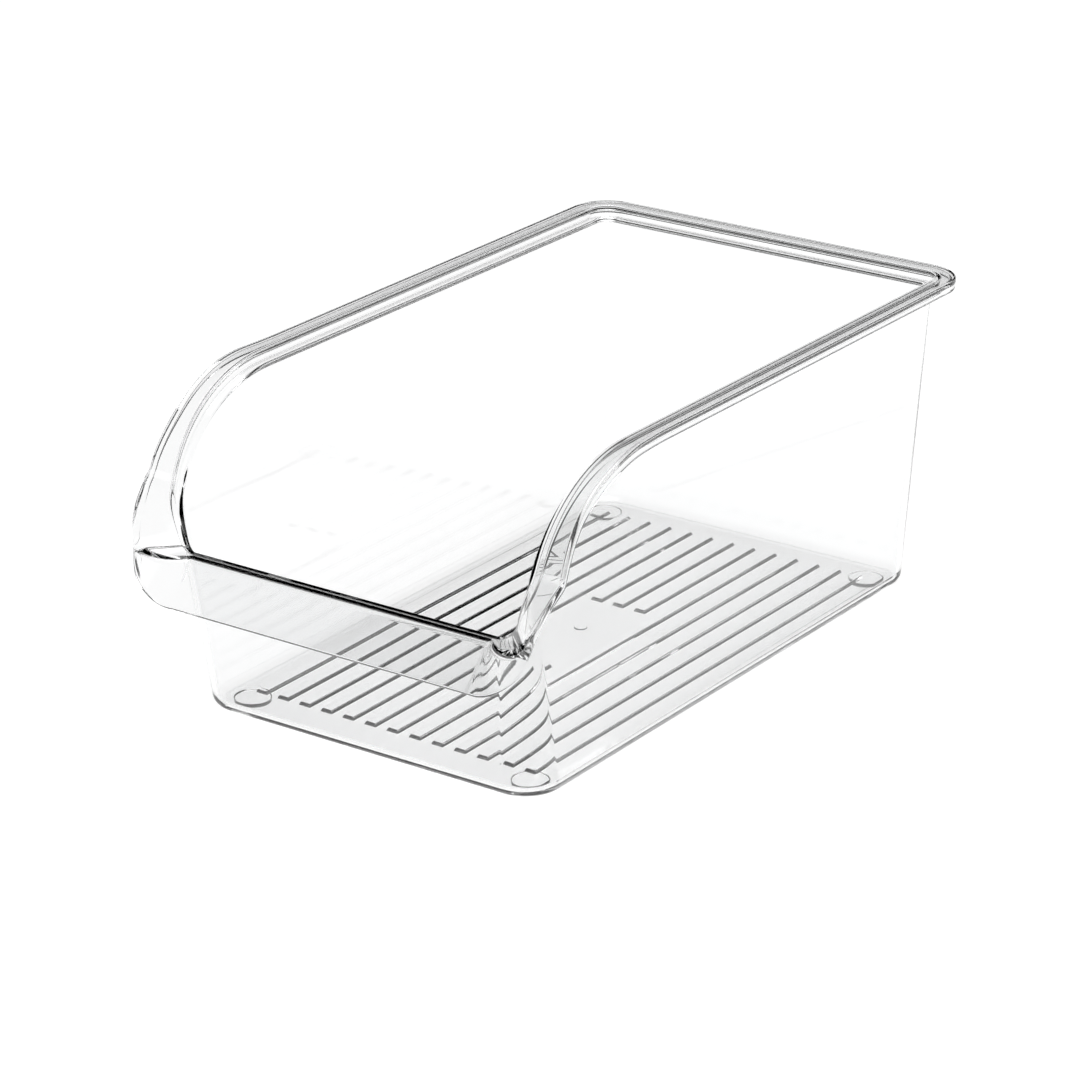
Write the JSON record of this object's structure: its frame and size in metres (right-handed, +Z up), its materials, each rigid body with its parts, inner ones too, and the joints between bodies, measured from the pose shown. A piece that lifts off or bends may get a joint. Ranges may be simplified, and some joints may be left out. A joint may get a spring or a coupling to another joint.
{
  "type": "fridge storage bin",
  "caption": "Clear open-front storage bin with scoop-cut sides, stepped flanged rim, forward pull lip, ribbed floor and round feet.",
  "frame": {"origin": "on the surface the feet stand on, under the middle of the bin's bounding box", "axes": "+Z up; +X to the right of a person who faces the pull lip; the pull lip is at -Y and the tall back wall at +Y"},
  "size_m": [0.1818, 0.3016, 0.1255],
  "materials": {
    "clear_plastic": "polished, transparent"
  },
  "bodies": {
    "root": {"floor_plate": "clear_plastic", "wall_back": "clear_plastic", "wall_left": "clear_plastic", "wall_front": "clear_plastic", "wall_right": "clear_plastic", "rim_back": "clear_plastic", "rim_left": "clear_plastic", "rim_right": "clear_plastic", "lip_corner_left": "clear_plastic", "lip_corner_right": "clear_plastic", "lip_front": "clear_plastic", "floor_rib_01": "clear_plastic", "floor_rib_02": "clear_plastic", "floor_rib_03": "clear_plastic", "floor_rib_04": "clear_plastic", "floor_rib_05": "clear_plastic", "floor_rib_06_front": "clear_plastic", "floor_rib_06_back": "clear_plastic", "floor_rib_07_front": "clear_plastic", "floor_rib_07_back": "clear_plastic", "floor_rib_08_front": "clear_plastic", "floor_rib_08_back": "clear_plastic", "floor_rib_09": "clear_plastic", "floor_rib_10": "clear_plastic", "floor_rib_11": "clear_plastic", "floor_rib_12": "clear_plastic", "floor_rib_13": "clear_plastic", "gate_mark": "clear_plastic", "foot_front_left": "clear_plastic", "foot_front_right": "clear_plastic", "foot_back_left": "clear_plastic", "foot_back_right": "clear_plastic"}
  },
  "joints": []
}
